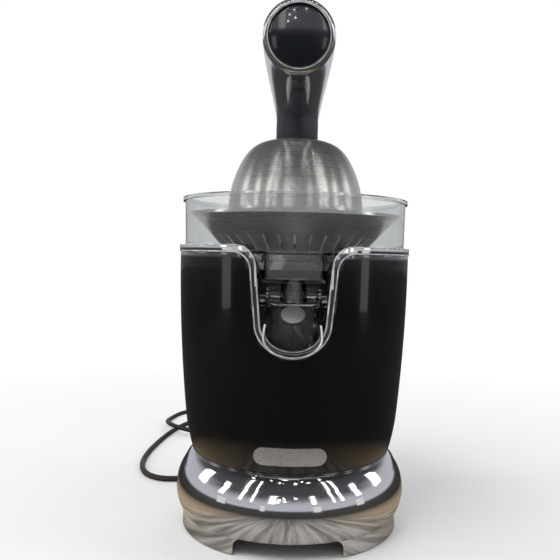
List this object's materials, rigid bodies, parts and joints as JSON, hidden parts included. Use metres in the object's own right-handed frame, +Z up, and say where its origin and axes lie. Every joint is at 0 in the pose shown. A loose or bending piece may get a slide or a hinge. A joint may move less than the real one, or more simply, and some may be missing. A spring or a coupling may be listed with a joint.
{
  "type": "lever citrus juicer",
  "caption": "Electric lever citrus juicer: black housing on a chrome base, clear bowl with strainer, hinged chrome arm with a dome that presses fruit onto a turning cone",
  "frame": {"origin": "middle of the base on the table", "axes": "+Z up, front (spout and badge) towards -Y, +X to the right seen from the front"},
  "size_m": [0.247, 0.5129, 0.3826],
  "materials": {
    "chrome_base": "polished chrome plate",
    "housing_black": "piano black",
    "band_chrome": "polished",
    "badge_steel": "fine brushed",
    "inner_plastic": "fine moulded grain",
    "gear_plastic": "natural acetal",
    "clear_bowl": "clear moulded plastic",
    "strainer_steel": "spun sheet",
    "cone_steel": "polished cast",
    "dome_steel": "brushed",
    "arm_chrome": "polished chrome plate",
    "cap_black": "piano black",
    "neck_black": "satin gloss",
    "shaft_steel": "ground",
    "screw_steel": "zinc plated",
    "bush_brass": "sintered bronze",
    "seal_rubber": "soft",
    "spout_clear": "clear moulded plastic",
    "stopper_silicone": "matt silicone",
    "cord_brown": "smooth sheath",
    "pin_brass": "nickel-plated",
    "motor_steel": "zinc plated",
    "stator_iron": "laminated",
    "copper_rotor": "wound",
    "bracket_black": "gloss"
  },
  "bodies": {
    "stand": {"base_ring": "chrome_base", "rubber_feet": "seal_rubber", "bottom_plate": "inner_plastic", "base_screws": "screw_steel", "housing_shell": "housing_black", "housing_screws": "screw_steel", "trim_band": "band_chrome", "badge_plate": "badge_steel", "top_deck": "inner_plastic", "spout_recess": "inner_plastic", "juice_bowl": "clear_bowl", "strainer": "strainer_steel", "shaft_bushes": "bush_brass", "shaft_seal": "seal_rubber", "switch_body": "inner_plastic", "idler_axle": "shaft_steel", "gearbox_tray": "inner_plastic", "gearbox_lid": "inner_plastic", "gearbox_screws": "screw_steel", "motor_can": "motor_steel", "motor_cap": "motor_steel", "motor_stator": "stator_iron", "motor_bearings": "shaft_steel", "hinge_bracket": "bracket_black", "bracket_screws": "screw_steel", "hinge_pin": "shaft_steel", "spout_pins": "shaft_steel", "strain_relief": "cord_brown", "cord": "cord_brown", "plug_body": "cord_brown", "plug_pins": "pin_brass"},
    "arm": {"arm_shell": "arm_chrome", "end_ring": "arm_chrome", "end_cap": "cap_black", "neck": "neck_black", "dome_pin": "shaft_steel", "hinge_bushes": "bush_brass"},
    "presser": {"dome": "dome_steel", "dome_stem": "shaft_steel"},
    "rotor": {"motor_rotor": "copper_rotor", "motor_pinion": "pin_brass"},
    "idler": {"idler_gear": "gear_plastic"},
    "output": {"output_gear": "gear_plastic", "return_spring": "shaft_steel"},
    "spindle": {"drive_shaft": "shaft_steel", "cone": "cone_steel"},
    "plunger": {"switch_plunger": "stopper_silicone"},
    "spout": {"spout": "spout_clear", "drip_stopper": "stopper_silicone"}
  },
  "joints": [
    {"name": "arm_lift", "type": "hinge", "parent": "stand", "child": "arm", "pos_m": [0, 0.103, 0.25], "axis": [-1, 0, 0], "range_deg": [0, 85]},
    {"name": "dome_tilt", "type": "hinge", "parent": "arm", "child": "presser", "pos_m": [0, 0, 0.322], "axis": [1, 0, 0], "range_deg": [-6, 6]},
    {"name": "motor_spin", "type": "hinge", "parent": "stand", "child": "rotor", "pos_m": [0, 0.04605, 0.15], "axis": [0, 0, 1], "continuous": true},
    {"name": "idler_spin", "type": "hinge", "parent": "stand", "child": "idler", "pos_m": [-0.02871, 0.02603, 0.17], "axis": [0, 0, 1], "continuous": true},
    {"name": "cone_spin", "type": "hinge", "parent": "stand", "child": "output", "pos_m": [0, 0, 0.18], "axis": [0, 0, 1], "continuous": true},
    {"name": "cone_press", "type": "slide", "parent": "output", "child": "spindle", "axis": [0, 0, -1], "range_m": [0, 0.003], "stiffness_N_per_m": 3000, "springref_m": -0.002, "deforming": ["return_spring"]},
    {"name": "switch_press", "type": "slide", "parent": "stand", "child": "plunger", "axis": [0, 0, -1], "range_m": [0, 0.003]},
    {"name": "spout_tilt", "type": "hinge", "parent": "stand", "child": "spout", "pos_m": [0, -0.0588, 0.1798], "axis": [-1, 0, 0], "range_deg": [0, 40]}
  ],
  "couplings": [
    {"joint": "idler_spin", "follows": "cone_spin", "ratio": -3.4286},
    {"joint": "motor_spin", "follows": "cone_spin", "ratio": 10.286},
    {"joint": "switch_press", "follows": "cone_press", "ratio": 1}
  ]
}
